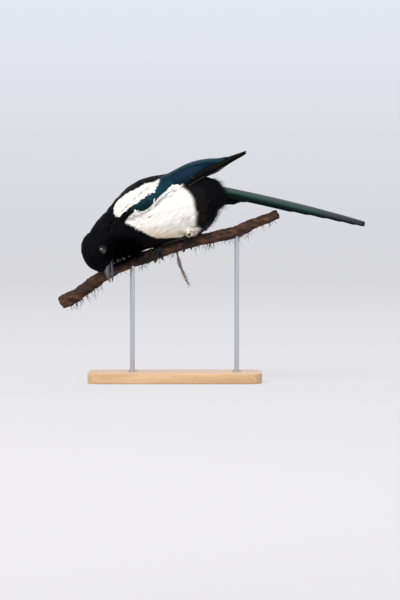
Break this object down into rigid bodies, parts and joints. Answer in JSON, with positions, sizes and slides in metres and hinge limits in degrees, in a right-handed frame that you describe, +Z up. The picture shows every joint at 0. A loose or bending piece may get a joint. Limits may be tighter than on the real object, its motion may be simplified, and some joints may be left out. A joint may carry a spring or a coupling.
{
  "type": "bird model on perch stand",
  "caption": "Life-size still model of a Eurasian magpie stooping head down along a cut branch, held by two rods on a flat base.",
  "frame": {"origin": "centre of the underside of the stand base", "axes": "+X toward the tail, the bird faces -X; the bird's left side faces -Y; +Z up"},
  "size_m": [0.4181, 0.128, 0.3151],
  "materials": {
    "plumage_white": "soft white contour feathers",
    "plumage_black": "soft black contour feathers",
    "flight_feather": "glossy blue and black wing feathers",
    "tail_feather": "glossy green tail feathers, bronze toward the tip",
    "horn": "smooth dark grey horn",
    "eye": "wet dark brown eye",
    "leg_skin": "scaled black leg skin and claws",
    "bark": "rough brown bark with rootlets",
    "stand_wood": "pale satin beech",
    "stand_steel": "brushed steel"
  },
  "bodies": {
    "root": {"trunk": "plumage_white", "neck": "plumage_black", "head": "plumage_black", "beak_upper": "horn", "beak_lower": "horn", "eye_left": "eye", "eye_right": "eye", "wing_left": "flight_feather", "wing_right": "flight_feather", "tail": "tail_feather", "thigh_left": "plumage_black", "thigh_right": "plumage_black", "shank_left": "leg_skin", "shank_right": "leg_skin", "foot_left": "leg_skin", "foot_right": "leg_skin", "perch_branch": "bark", "stand_base": "stand_wood", "stand_rod_front": "stand_steel", "stand_rod_rear": "stand_steel"}
  },
  "joints": []
}
